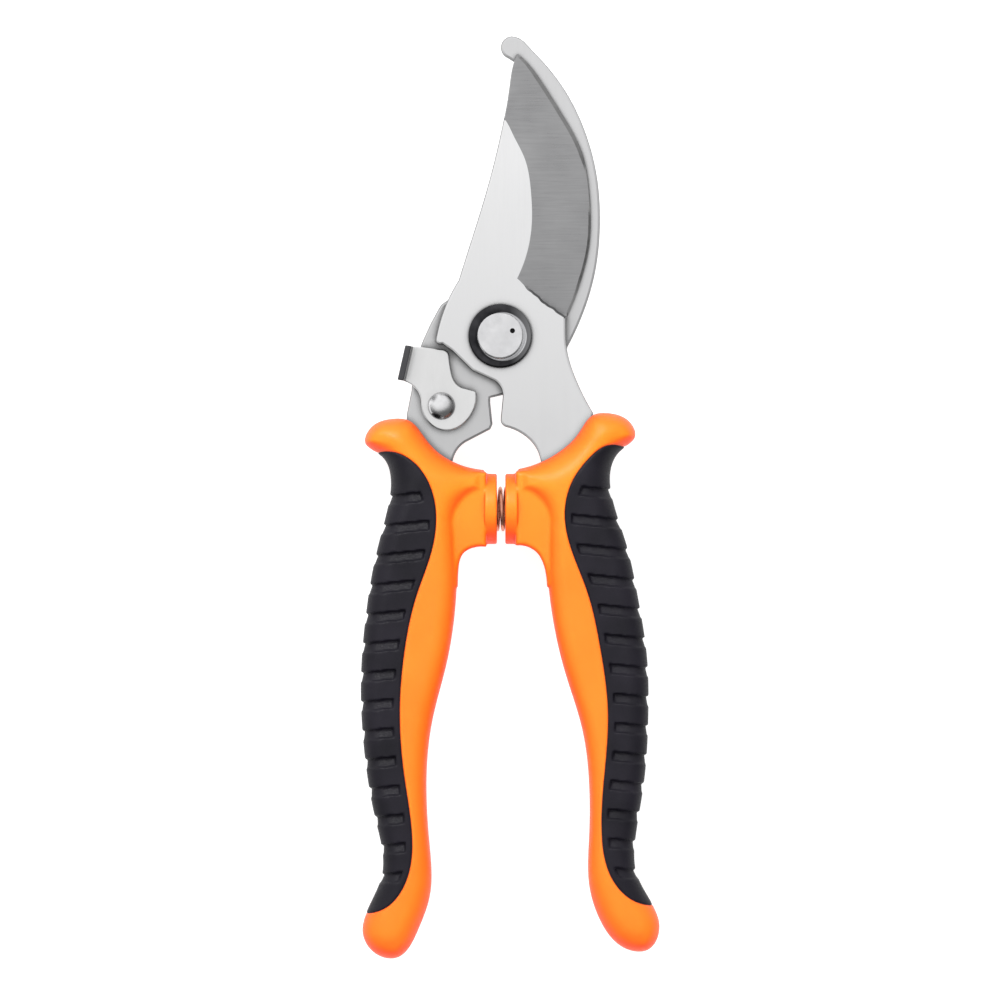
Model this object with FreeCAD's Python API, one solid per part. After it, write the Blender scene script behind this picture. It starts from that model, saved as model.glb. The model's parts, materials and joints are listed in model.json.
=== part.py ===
import FreeCAD, Part
import math
import os

Vector = FreeCAD.Vector
X_AXIS = Vector(1, 0, 0)
Z_AXIS = Vector(0, 0, 1)

# Bypass pruner, closed and latched, lying on its back. The outlines are drawn about the pivot,
# in millimetres, +Y towards the blade tip and +X towards the cutting edge.

# Heights above the surface that the pruner lies on
HANDLE_TOP = 18.0
MID_HEIGHT = HANDLE_TOP / 2
HOOK_LOW, HOOK_HIGH = 5.6, 8.8
BLADE_LOW, BLADE_HIGH = 9.2, 12.2
RUNNING_GAP = 0.05

# Pivot
SHANK_RADIUS = 3.0
BUSH_RADIUS = 4.0
HEAD_RADIUS = 5.0
RING_RADIUS = 6.9
RING_HEIGHT = 1.2
HEAD_RISE = 1.2
THRUST_RADIUS = 7.5
REAR_WASHER_RADIUS = 6.2
REAR_WASHER_HEIGHT = 0.8
NUT_ACROSS_FLATS = 10.0
NUT_HEIGHT = 3.8
PUNCH_RADIUS = 0.55
PUNCH_DEPTH = 0.5
PUNCH_PLACE = (2.6, 1.1)
HEAD_ROUND = 0.5
RING_BEVEL = 0.5
THREAD_SHOWING = 0.4

# Latch
RIVET_PLACE = (-12.7, -15.1)
RIVET_RADIUS = 2.0
RIVET_HEAD_RADIUS = 2.9
RIVET_HEAD_RISE = 1.7
RIVET_TAIL_RISE = 1.0
LATCH_THICKNESS = 1.5
LATCH_TAB_TOP = 16.0
LATCH_LOW = BLADE_LOW + RUNNING_GAP
LATCH_WASHER_RADIUS = 4.4
TAIL_WASHER_RADIUS = 3.6
TAIL_WASHER_HEIGHT = 0.8

# Blades
EDGE_THICKNESS = 0.35
GRIND_START = -0.1
GRIND_END = 1.2

# Spring between the handles
SPRING_Y = -37.3
SPRING_RADIUS = 4.45
WIRE_RADIUS = 0.45
SPRING_TURNS = 12
SOCKET_RADIUS = 5.2
SOCKET_DEPTH = 7.8
POST_RADIUS = 2.9
POST_RISE = 4.0
POST_ROOT = 1.5
FLANGE_RADIUS = 7.7
FLANGE_WIDTH = 2.7
LEFT_FACE = -0.75
RIGHT_FACE = 1.05
PANEL_LOW, PANEL_HIGH = 2.4, 15.6

# Handles
TONGUE_LOW, TONGUE_HIGH = 3.0, 15.0
RUBBER_DEPTH = 2.6
GROOVE_DEPTH = 0.8
GROOVE_WIDTH = 2.2
GROOVE_PITCH = 6.35
GROOVE_COUNT = 13
GROOVE_END = 2.6
FAR = 60.0
PIN_RADIUS = 1.5
PIN_LOW, PIN_HIGH = 4.0, 14.0


def edge_through(points):
    """A straight edge for two points, an arc for three, and a smooth curve for more."""
    spots = [Vector(x, y, 0) for x, y in points]
    if len(spots) == 2:
        return Part.LineSegment(*spots).toShape()
    if len(spots) == 3:
        return Part.Arc(*spots).toShape()
    curve = Part.BSplineCurve()
    curve.interpolate(spots)
    return curve.toShape()


def outline(start, *stretches):
    """A closed flat face; each stretch goes on from where the last one ended."""
    edges = []
    here = start
    for stretch in stretches:
        edges.append(edge_through([here] + stretch))
        here = stretch[-1]
    if here != start:
        edges.append(edge_through([here, start]))
    return Part.Face(Part.Wire(edges))


def prism(face, low, high):
    solid = face.extrude(Vector(0, 0, high - low))
    solid.translate(Vector(0, 0, low))
    return solid


def post(place, radius, low, high):
    return Part.makeCylinder(radius, high - low, Vector(place[0], place[1], low), Z_AXIS)


def rod(start_x, end_x, radius):
    """A cylinder along the spring's axis."""
    low = min(start_x, end_x)
    return Part.makeCylinder(radius, abs(end_x - start_x), Vector(low, SPRING_Y, MID_HEIGHT), X_AXIS)


def ring(place, outer, inner, low, high):
    return post(place, outer, low, high).cut(post(place, inner, low, high))


def flat_rim_edges(solid, heights):
    """The edges that run round a plate's faces at the given heights."""
    found = []
    for edge in solid.Edges:
        box = edge.BoundBox
        if box.ZLength < 1e-6 and any(abs(box.ZMin - height) < 1e-6 for height in heights):
            found.append(edge)
    return found


def hook_outline():
    """The counter blade: hooked jaw, pivot plate and the tang inside the left handle."""
    return outline(
        (1.7, 60.1),
        [(0.1, 62.4), (2.5, 64.8)],
        [
            (4.4, 64.2), (6.1, 62.6), (9.2, 59.3), (14.0, 53.0), (18.7, 43.0), (20.9, 34.0), (21.5, 25.0),
            (20.5, 14.1), (17.1, 3.1), (14.5, -2.3),
        ],
        [(11.6, -8.0), (6.6, -11.6), (0.4, -12.7)],
        [(-2.2, -13.3)],
        [(-2.2, -14.3)],
        [(-1.7, -19.0)],
        [(-2.2, -20.1)],
        [(-7.0, -22.6)],
        [(-9.2, -24.4), (-10.3, -26.9)],
        [(-12.4, -34.0), (-14.4, -47.0), (-16.4, -62.0), (-17.6, -73.0)],
        [(-20.2, -75.6), (-22.6, -73.0)],
        [(-21.8, -60.0), (-20.9, -46.0), (-20.6, -32.0), (-20.2, -16.8)],
        [(-19.2, -11.8)],
        [(-18.3, -5.5), (-16.4, -0.2), (-12.8, 6.8)],
        [(-6.0, 9.6), (4.0, 9.4), (9.4, 12.2)],
        [(12.4, 18.6), (13.6, 27.0), (12.4, 36.0), (8.4, 46.5), (3.6, 56.0)],
        [(3.1, 59.2)],
    )


def blade_outline():
    """The cutting blade: sharpened jaw, pivot plate and the tang inside the right handle."""
    return outline(
        (3.6, 61.0),
        [
            (5.8, 59.0), (9.0, 54.8), (13.7, 47.3), (17.5, 40.0), (19.3, 30.0), (19.2, 19.8), (17.1, 11.2),
            (14.1, 3.7),
        ],
        [(14.1, -0.4)],
        [(14.6, -4.2), (16.4, -9.6), (20.0, -16.6)],
        [(20.5, -32.0), (21.8, -46.0), (24.0, -60.0), (25.2, -73.0)],
        [(22.6, -75.6), (20.0, -73.0)],
        [(18.4, -60.0), (15.4, -46.0), (11.4, -34.0), (8.7, -26.8)],
        [(6.9, -23.0), (4.0, -20.7), (1.5, -19.7)],
        [(0.3, -18.9), (0.1, -17.7)],
        [(0.5, -13.6)],
        [(0.3, -11.6), (-1.2, -9.7)],
        [(-6.0, -7.5)],
        [(-10.4, -3.2)],
        [(-12.6, -1.7)],
        [(-13.5, -1.7), (-13.9, -0.6)],
        [(-12.9, 3.5), (-11.2, 8.0), (-9.0, 12.0)],
        [(-7.0, 18.4), (-3.5, 29.6), (-1.2, 38.1), (0.7, 46.6)],
        [(1.9, 53.6), (2.5, 57.6), (3.6, 61.0)],
    )


def latch_outline():
    """The latch plate, seen flat: thumb end at the left, rivet lobe at the bottom."""
    return outline(
        (-19.3, -2.5),
        [(-12.4, -2.9)],
        [(-11.5, -3.3), (-11.1, -4.2)],
        [(-10.7, -7.2), (-9.8, -9.9), (-8.4, -11.1)],
        [(-5.3, -11.9)],
        [(-5.3, -14.4), (-7.2, -18.2), (-10.6, -20.3), (-13.6, -20.0), (-16.2, -17.6), (-17.1, -14.2)],
        [(-17.8, -12.0), (-19.4, -10.4), (-21.0, -10.0)],
    )


def latch_tab():
    """The folded thumb tab, standing up from the plate's left edge."""
    foot = outline((-20.6, -2.0), [(-19.2, -2.4)], [(-20.9, -10.1)], [(-22.3, -9.5)])
    return prism(foot, LATCH_LOW, LATCH_TAB_TOP)


def left_hull_outline():
    """The left handle with its rubber, without the spring cup."""
    return outline(
        (-3.5, -28.8),
        [
            (-9.6, -27.3), (-13.4, -25.0), (-16.6, -21.4), (-19.4, -18.3), (-23.6, -17.8),
            (-28.2, -19.9), (-29.3, -23.0), (-25.6, -26.0), (-23.8, -29.6), (-24.3, -37.0),
            (-26.8, -47.0), (-29.0, -60.0), (-30.1, -75.0), (-29.2, -91.0), (-27.0, -104.0),
            (-25.5, -116.0), (-28.6, -123.6), (-29.8, -128.6), (-26.8, -133.4), (-22.4, -134.2),
            (-17.6, -128.0), (-15.1, -120.6), (-15.3, -109.0), (-15.9, -97.0), (-14.6, -83.0),
            (-11.6, -71.0), (-9.8, -60.0), (-9.3, -51.0),
        ],
        [(-9.8, -40.0)],
        [(-7.7, -36.0), (-3.5, -33.7)],
    )


def right_hull_outline():
    """The right handle with its rubber, without the spring cup."""
    return outline(
        (3.8, -28.6),
        [
            (9.4, -26.8), (13.6, -24.2), (16.8, -20.9), (19.9, -17.0), (23.8, -16.6),
            (28.0, -18.5), (29.2, -21.6), (25.9, -24.8), (23.9, -28.4), (24.4, -36.0),
            (27.2, -45.0), (29.6, -56.0), (31.6, -69.0), (31.9, -82.0), (31.0, -96.0),
            (29.3, -107.0), (29.3, -115.6), (32.4, -121.9), (34.4, -127.4), (32.0, -132.4),
            (27.4, -132.4), (21.4, -126.0), (19.1, -118.6), (19.1, -108.0), (19.1, -97.0),
            (17.5, -84.5), (14.0, -73.0), (11.4, -62.0), (10.1, -51.0),
        ],
        [(10.2, -40.0)],
        [(8.4, -36.2), (3.8, -33.7)],
    )


def left_rubber_outline(shift):
    """All that lies outside the left rubber's inner edge, which is moved outwards by shift."""
    return outline(
        (-FAR, -25.2),
        [(-26.6 - shift, -25.2)],
        [
            (-23.0 - shift, -25.0), (-19.4 - shift, -26.6), (-15.4 - shift, -31.6),
            (-13.8 - shift, -38.4), (-14.8 - shift, -46.6), (-18.0 - shift, -56.0),
            (-20.6 - shift, -68.0), (-21.6 - shift, -81.0), (-20.6 - shift, -95.0),
            (-19.0 - shift, -107.0), (-20.2 - shift, -117.4), (-24.0 - shift, -122.8),
            (-30.0 - shift, -124.6),
        ],
        [(-FAR, -124.6)],
    )


def right_rubber_outline(shift):
    """All that lies outside the right rubber's inner edge, which is moved outwards by shift."""
    return outline(
        (FAR, -23.8),
        [(26.4 + shift, -23.8)],
        [
            (22.6 + shift, -23.7), (19.0 + shift, -26.4), (15.3 + shift, -31.6),
            (13.8 + shift, -38.6), (15.2 + shift, -46.0), (18.6 + shift, -55.0),
            (21.4 + shift, -67.0), (23.1 + shift, -81.0), (22.2 + shift, -96.0),
            (21.8 + shift, -108.0), (24.0 + shift, -117.0), (28.4 + shift, -121.6),
            (33.6 + shift, -122.8),
        ],
        [(FAR, -122.8)],
    )


def left_panel_outline():
    return outline(
        (-3.4, -29.2),
        [(-3.4, -45.5)],
        [(-5.9, -45.7), (-8.0, -46.9), (-9.0, -49.6), (-9.3, -54.0)],
        [(-12.0, -54.0)],
        [(-12.0, -29.2)],
    )


def right_panel_outline():
    return outline(
        (3.7, -29.0),
        [(3.7, -45.2)],
        [(5.6, -45.4), (7.9, -46.8), (9.4, -49.6), (10.1, -54.0)],
        [(13.0, -54.0)],
        [(13.0, -29.0)],
    )


SIDES = {
    "left": {
        "outwards": -1,
        "hull": left_hull_outline,
        "rubber": left_rubber_outline,
        "panel": left_panel_outline,
        "face": LEFT_FACE,
        "pins": [(-16.6, -38.0), (-19.1, -61.0)],
        "first_groove": -34.2,
    },
    "right": {
        "outwards": 1,
        "hull": right_hull_outline,
        "rubber": right_rubber_outline,
        "panel": right_panel_outline,
        "face": RIGHT_FACE,
        "pins": [(16.9, -38.0), (21.0, -61.0)],
        "first_groove": -32.9,
    },
}


def handle_hull(side):
    """The whole handle with its rubber as one form, which is then divided."""
    return prism(side["hull"](), 0, HANDLE_TOP)


def tongue(side):
    """The hard core that the rubber wraps round."""
    core = prism(side["hull"](), TONGUE_LOW, TONGUE_HIGH)
    core.translate(Vector(-side["outwards"] * RUBBER_DEPTH, 0, 0))
    return core.common(prism(side["rubber"](0), TONGUE_LOW, TONGUE_HIGH))


def grooves(side):
    """The finger grooves across the rubber, cut to an even depth all round."""
    outwards = side["outwards"]
    floor = prism(side["hull"](), GROOVE_DEPTH, HANDLE_TOP - GROOVE_DEPTH)
    floor.translate(Vector(-outwards * GROOVE_DEPTH, 0, 0))
    slabs = []
    for number in range(GROOVE_COUNT):
        low_y = side["first_groove"] - GROOVE_WIDTH - number * GROOVE_PITCH
        slabs.append(Part.makeBox(2 * FAR, GROOVE_WIDTH, 2 * FAR, Vector(-FAR, low_y, -FAR)))
    reach = prism(side["rubber"](GROOVE_END), -1, HANDLE_TOP + 1)
    return Part.makeCompound(slabs).common(reach).cut(floor)


def spring_cup(side):
    """The block and round flange that hold one end of the spring."""
    outwards = side["outwards"]
    face = side["face"]
    block = prism(side["panel"](), PANEL_LOW, PANEL_HIGH)
    flange = rod(face, face + outwards * FLANGE_WIDTH, FLANGE_RADIUS)
    return block.fuse(flange)


def spring_socket(side):
    face = side["face"]
    return rod(face, face + side["outwards"] * SOCKET_DEPTH, SOCKET_RADIUS)


def spring_post(side):
    floor = side["face"] + side["outwards"] * SOCKET_DEPTH
    return rod(floor + side["outwards"] * POST_ROOT, floor - side["outwards"] * POST_RISE, POST_RADIUS)


def tang_pins(side):
    return Part.makeCompound([post(place, PIN_RADIUS, PIN_LOW, PIN_HIGH) for place in side["pins"]])


def handle_and_grip(side, tang):
    """The hard handle and its rubber grip, fitted round the tang, pins and spring post."""
    hull = handle_hull(side)
    rubber_zone = prism(side["rubber"](0), -1, HANDLE_TOP + 1)
    core = tongue(side).common(hull)
    handle = hull.cut(rubber_zone).fuse([core, spring_cup(side)])
    handle = handle.cut([spring_socket(side), spring_post(side), tang, tang_pins(side)])
    grip = hull.common(rubber_zone).cut([core, tang, grooves(side)])
    return largest_solid(handle), largest_solid(grip)


def largest_solid(shape):
    return max(shape.removeSplitter().Solids, key=lambda solid: solid.Volume)


def bevel_cutter():
    """What grinding takes off: a wedge that runs from the bevel's inner line to the cutting edge."""
    inner_line = [
        (-0.8, 48.2), (0.9, 46.8), (2.7, 43.5), (5.2, 38.4),
        (6.6, 31.0), (6.8, 25.0), (6.1, 19.4), (3.6, 12.4),
    ]
    outer_line = [
        (2.0, 64.0), (6.6, 58.2), (9.8, 54.0), (15.9, 43.5),
        (19.0, 33.0), (19.6, 25.0), (19.1, 19.7), (14.1, 3.7),
    ]
    rise = BLADE_HIGH - BLADE_LOW - EDGE_THICKNESS
    sections = []
    for (inner_x, inner_y), (outer_x, outer_y) in zip(inner_line, outer_line):
        start = Vector(inner_x, inner_y, BLADE_HIGH)
        run = Vector(outer_x - inner_x, outer_y - inner_y, -rise)
        back = start + run * GRIND_START
        beyond = start + run * GRIND_END
        above = Vector(beyond.x, beyond.y, BLADE_HIGH + rise)
        sections.append(Part.makePolygon([back, beyond, above, back]))
    return Part.makeLoft(sections, True, True)


def counter_blade():
    plate = prism(hook_outline(), HOOK_LOW, HOOK_HIGH)
    holes = [
        post((0, 0), SHANK_RADIUS + RUNNING_GAP, HOOK_LOW, HOOK_HIGH),
        post(RIVET_PLACE, RIVET_RADIUS, HOOK_LOW, HOOK_HIGH),
        tang_pins(SIDES["left"]),
    ]
    return plate.cut(holes)


def cutting_blade():
    plate = prism(blade_outline(), BLADE_LOW, BLADE_HIGH)
    holes = [
        post((0, 0), BUSH_RADIUS, BLADE_LOW, BLADE_HIGH),
        tang_pins(SIDES["right"]),
    ]
    return plate.cut(holes).cut(bevel_cutter())


def pivot_bolt():
    """Round-headed bolt through both blades, with a punch mark in its head."""
    ring_low = BLADE_HIGH + RUNNING_GAP
    head_low = ring_low + RING_HEIGHT / 2
    head_high = ring_low + RING_HEIGHT + HEAD_RISE
    head = post((0, 0), HEAD_RADIUS, head_low, head_high)
    head = head.makeFillet(HEAD_ROUND, flat_rim_edges(head, (head_high,)))
    shank_low = HOOK_LOW - REAR_WASHER_HEIGHT - NUT_HEIGHT - THREAD_SHOWING
    shank = post((0, 0), SHANK_RADIUS, shank_low, head_low)
    punch = post(PUNCH_PLACE, PUNCH_RADIUS, head_high - PUNCH_DEPTH, head_high + 1)
    return head.fuse(shank).removeSplitter().cut(punch)


def pivot_ring():
    """The dark ring that the bolt's head sits in."""
    low = BLADE_HIGH + RUNNING_GAP
    high = low + RING_HEIGHT
    body = post((0, 0), RING_RADIUS, low, high)
    body = body.makeChamfer(RING_BEVEL, flat_rim_edges(body, (high,)))
    recess = post((0, 0), HEAD_RADIUS, low + RING_HEIGHT / 2, high)
    return body.cut([recess, post((0, 0), SHANK_RADIUS, low, high)])


def pivot_nut():
    """Hexagon nut with its corners turned down towards the back."""
    high = HOOK_LOW - REAR_WASHER_HEIGHT
    low = high - NUT_HEIGHT
    corner = NUT_ACROSS_FLATS / math.sqrt(3)
    turns = [math.radians(60 * number) for number in range(7)]
    corners = [Vector(corner * math.cos(turn), corner * math.sin(turn), 0) for turn in turns]
    nut = prism(Part.Face(Part.makePolygon(corners)), low, high)
    flat_radius = NUT_ACROSS_FLATS / 2
    cone = Part.makeCone(flat_radius, flat_radius + NUT_HEIGHT, NUT_HEIGHT, Vector(0, 0, low))
    return nut.common(cone).cut(post((0, 0), SHANK_RADIUS, low, high))


def latch_plate():
    plate = prism(latch_outline(), LATCH_LOW, LATCH_LOW + LATCH_THICKNESS)
    latch = plate.fuse(latch_tab()).removeSplitter()
    hole = post(RIVET_PLACE, RIVET_RADIUS + RUNNING_GAP, LATCH_LOW, LATCH_TAB_TOP)
    return latch.cut(hole)


def latch_rivet():
    """Rivet with a domed head in front and a low tail behind."""
    x, y = RIVET_PLACE
    head_low = LATCH_LOW + LATCH_THICKNESS + RUNNING_GAP
    tail_high = HOOK_LOW - TAIL_WASHER_HEIGHT
    shank = post(RIVET_PLACE, RIVET_RADIUS, tail_high, head_low)
    head = dome(x, y, head_low, RIVET_HEAD_RADIUS, RIVET_HEAD_RISE)
    tail = dome(x, y, tail_high, RIVET_HEAD_RADIUS, -RIVET_TAIL_RISE)
    return shank.fuse([head, tail]).removeSplitter()


def dome(x, y, base, radius, rise):
    """A shallow ball cap of the given radius and rise; a negative rise points down."""
    height = abs(rise)
    ball_radius = (radius**2 + height**2) / (2 * height)
    centre = base + math.copysign(height - ball_radius, rise)
    ball = Part.makeSphere(ball_radius, Vector(x, y, centre))
    slice_low = base if rise > 0 else base - height
    return ball.common(post((x, y), radius + 1, slice_low, slice_low + height))


def spring():
    """The compressed coil between the two cups, as a wire wound round their shared axis."""
    left_end = LEFT_FACE - SOCKET_DEPTH + WIRE_RADIUS
    right_end = RIGHT_FACE + SOCKET_DEPTH - WIRE_RADIUS
    length = right_end - left_end
    helix = Part.makeHelix(length / SPRING_TURNS, length, SPRING_RADIUS)
    start = Part.Circle(Vector(SPRING_RADIUS, 0, 0), Vector(0, 1, 0), WIRE_RADIUS).toShape()
    coil = Part.Wire(helix).makePipeShell([Part.Wire(start)], True, True)
    coil.rotate(Vector(0, 0, 0), Vector(0, 1, 0), 90)
    coil.translate(Vector(left_end, SPRING_Y, MID_HEIGHT))
    return coil


def build():
    hook = counter_blade()
    blade = cutting_blade()
    left_handle, left_grip = handle_and_grip(SIDES["left"], hook)
    right_handle, right_grip = handle_and_grip(SIDES["right"], blade)
    pin_hole = SHANK_RADIUS + RUNNING_GAP
    blade_back = BLADE_LOW - RUNNING_GAP
    rear = HOOK_LOW - REAR_WASHER_HEIGHT
    tail = HOOK_LOW - TAIL_WASHER_HEIGHT
    return {
        "counter_blade": hook,
        "left_handle": left_handle,
        "left_grip": left_grip,
        "left_tang_pins": tang_pins(SIDES["left"]),
        "left_spring_post": spring_post(SIDES["left"]),
        "cutting_blade": blade,
        "right_handle": right_handle,
        "right_grip": right_grip,
        "right_tang_pins": tang_pins(SIDES["right"]),
        "right_spring_post": spring_post(SIDES["right"]),
        "pivot_bolt": pivot_bolt(),
        "pivot_ring": pivot_ring(),
        "pivot_bush": ring((0, 0), BUSH_RADIUS, pin_hole, BLADE_LOW, BLADE_HIGH),
        "thrust_washer": ring((0, 0), THRUST_RADIUS, SHANK_RADIUS, HOOK_HIGH, blade_back),
        "rear_washer": ring((0, 0), REAR_WASHER_RADIUS, SHANK_RADIUS, rear, HOOK_LOW),
        "pivot_nut": pivot_nut(),
        "latch_plate": latch_plate(),
        "latch_rivet": latch_rivet(),
        "latch_washer": ring(RIVET_PLACE, LATCH_WASHER_RADIUS, RIVET_RADIUS, HOOK_HIGH, BLADE_LOW),
        "tail_washer": ring(RIVET_PLACE, TAIL_WASHER_RADIUS, RIVET_RADIUS, tail, HOOK_LOW),
        "spring": spring(),
    }


def write(nodes):
    """Moves the origin from the pivot to the bottom centre and writes one file per piece."""
    box = Part.makeCompound(list(nodes.values())).optimalBoundingBox(False, False)
    shift = Vector(-box.Center.x, -box.Center.y, -box.ZMin)
    os.makedirs("parts", exist_ok=True)
    for name, shape in nodes.items():
        shape.translate(shift)
        shape.exportStep(f"parts/{name}.step")
    print(f"pivot at {shift.x:.4f} {shift.y:.4f}, lowest point moved by {shift.z:.4f}")
    print(f"size {box.XLength:.3f} {box.YLength:.3f} {box.ZLength:.3f}")


write(build())
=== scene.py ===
import json
import math

import bpy
import numpy as np
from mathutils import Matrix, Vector, geometry

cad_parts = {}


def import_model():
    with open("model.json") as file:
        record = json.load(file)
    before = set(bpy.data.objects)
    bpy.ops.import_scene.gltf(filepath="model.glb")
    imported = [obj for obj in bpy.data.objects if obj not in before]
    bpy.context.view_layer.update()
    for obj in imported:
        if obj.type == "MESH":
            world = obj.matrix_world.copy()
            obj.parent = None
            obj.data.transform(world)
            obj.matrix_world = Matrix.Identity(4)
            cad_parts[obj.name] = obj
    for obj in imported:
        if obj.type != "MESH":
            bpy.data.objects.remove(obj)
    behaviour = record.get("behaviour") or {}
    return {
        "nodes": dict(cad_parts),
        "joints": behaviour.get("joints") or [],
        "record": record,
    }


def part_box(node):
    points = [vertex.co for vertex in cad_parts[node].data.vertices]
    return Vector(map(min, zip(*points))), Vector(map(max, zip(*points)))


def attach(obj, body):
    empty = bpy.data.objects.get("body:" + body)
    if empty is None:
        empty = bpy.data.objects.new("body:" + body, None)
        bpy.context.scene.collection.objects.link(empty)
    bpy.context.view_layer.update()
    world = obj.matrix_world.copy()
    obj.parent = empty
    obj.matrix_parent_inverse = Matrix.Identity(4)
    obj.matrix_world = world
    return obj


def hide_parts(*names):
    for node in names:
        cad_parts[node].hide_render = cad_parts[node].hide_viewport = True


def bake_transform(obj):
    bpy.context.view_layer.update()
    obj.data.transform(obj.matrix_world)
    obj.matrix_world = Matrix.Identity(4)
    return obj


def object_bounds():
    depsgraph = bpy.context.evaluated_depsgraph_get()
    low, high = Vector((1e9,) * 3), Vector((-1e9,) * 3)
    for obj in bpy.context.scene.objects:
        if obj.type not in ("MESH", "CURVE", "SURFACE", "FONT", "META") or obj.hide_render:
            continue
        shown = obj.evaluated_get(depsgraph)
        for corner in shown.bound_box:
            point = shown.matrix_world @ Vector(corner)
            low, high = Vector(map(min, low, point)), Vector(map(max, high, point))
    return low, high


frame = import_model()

cad_low, cad_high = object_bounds()

# Bypass pruner. Shapes are drawn in millimetres about the pivot, as in the CAD, and moved into
# the frame in metres by to_frame.
MM = 0.001
joints = {joint["name"]: joint for joint in frame["joints"]}
pivot_x, pivot_y, _ = joints["pivot"]["pos_m"]
rivet_x, rivet_y, _ = joints["latch_turn"]["pos_m"]
RIVET = ((rivet_x - pivot_x) / MM, (rivet_y - pivot_y) / MM)
MID_HEIGHT = (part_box("left_handle")[0].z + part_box("left_handle")[1].z) / 2 / MM
HALF_HEIGHT = MID_HEIGHT - 0.08
SPRING_Y = (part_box("left_spring_post")[0].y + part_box("left_spring_post")[1].y) / 2 / MM - pivot_y / MM


def to_frame(points):
    """Pivot-centred millimetres to metres in the frame."""
    return np.asarray(points, float) * MM + np.array([pivot_x, pivot_y, 0.0])


# ---- outlines


def spline(points, step):
    """Points along a smooth curve through the given ones."""
    p = np.array(points, float)
    knots = np.concatenate([[0], np.cumsum(np.hypot(*np.diff(p, axis=0).T))])
    gaps = np.diff(knots)
    n = len(p)
    system = np.eye(n)
    right = np.zeros((n, 2))
    for i in range(1, n - 1):
        system[i, i - 1 : i + 2] = gaps[i - 1], 2 * (gaps[i - 1] + gaps[i]), gaps[i]
        right[i] = 6 * ((p[i + 1] - p[i]) / gaps[i] - (p[i] - p[i - 1]) / gaps[i - 1])
    system[0, :2] = 1, -1
    system[-1, -2:] = 1, -1
    bend = np.linalg.solve(system, right)
    at = np.linspace(0, knots[-1], max(3, int(knots[-1] / step) + 1))
    i = np.clip(np.searchsorted(knots, at, side="right") - 1, 0, n - 2)
    h = gaps[i][:, None]
    a = (knots[i + 1] - at)[:, None] / h
    b = 1 - a
    return a * p[i] + b * p[i + 1] + ((a**3 - a) * bend[i] + (b**3 - b) * bend[i + 1]) * h**2 / 6


def arc(start, through, end, step):
    """Points along the arc from start through a middle point to end."""
    a, b, c = (np.array(q, float) for q in (start, through, end))
    sides = np.array([b - a, c - a])
    centre = a + np.linalg.solve(2 * sides, (sides**2).sum(1))
    angles = [math.atan2(*(q - centre)[::-1]) for q in (a, b, c)]
    turn = (angles[2] - angles[0]) % math.tau
    if (angles[1] - angles[0]) % math.tau > turn:
        turn -= math.tau
    radius = np.hypot(*(a - centre))
    swept = angles[0] + np.linspace(0, turn, max(4, int(abs(turn) * radius / step) + 1))
    return centre + radius * np.stack([np.cos(swept), np.sin(swept)], 1)


def outline(start, *stretches, step=0.5):
    """A closed loop of points. A stretch of one point is a line, of two an arc, of more a smooth curve."""
    loop = [np.array([start], float)]
    here = start
    for stretch in [*stretches, [start]]:
        if len(stretch) == 1:
            part = np.array([here, stretch[0]], float)
            count = max(2, int(np.hypot(*(part[1] - part[0])) / step) + 1)
            part = part[0] + np.linspace(0, 1, count)[:, None] * (part[1] - part[0])
        elif len(stretch) == 2:
            part = arc(here, *stretch, step)
        else:
            part = spline([here, *stretch], step)
        loop.append(part[1:])
        here = stretch[-1]
    loop = np.concatenate(loop)
    apart = np.hypot(*(loop - np.roll(loop, 1, 0)).T) > 1e-6
    return loop[apart]


HOOK_OUTLINE = outline(
    (1.7, 60.1),
    [(0.1, 62.4), (2.5, 64.8)],
    [
        (4.4, 64.2), (6.1, 62.6), (9.2, 59.3), (14.0, 53.0), (18.7, 43.0), (20.9, 34.0), (21.5, 25.0),
        (20.5, 14.1), (17.1, 3.1), (14.5, -2.3),
    ],
    [(11.6, -8.0), (6.6, -11.6), (0.4, -12.7)],
    [(-2.2, -13.3)],
    [(-2.2, -14.3)],
    [(-1.7, -19.0)],
    [(-2.2, -20.1)],
    [(-7.0, -22.6)],
    [(-9.2, -24.4), (-10.3, -26.9)],
    [(-12.4, -34.0), (-14.4, -47.0), (-16.4, -62.0), (-17.6, -73.0)],
    [(-20.2, -75.6), (-22.6, -73.0)],
    [(-21.8, -60.0), (-20.9, -46.0), (-20.6, -32.0), (-20.2, -16.8)],
    [(-19.2, -11.8)],
    [(-18.3, -5.5), (-16.4, -0.2), (-12.8, 6.8)],
    [(-6.0, 9.6), (4.0, 9.4), (9.4, 12.2)],
    [(12.4, 18.6), (13.6, 27.0), (12.4, 36.0), (8.4, 46.5), (3.6, 56.0)],
    [(3.1, 59.2)],
)
BLADE_TIP = (3.6, 61.0)
CUTTING_EDGE = [
    (5.8, 59.0), (9.0, 54.8), (13.7, 47.3), (17.5, 40.0), (19.3, 30.0), (19.2, 19.8), (17.1, 11.2),
    (14.1, 3.7),
]
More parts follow.
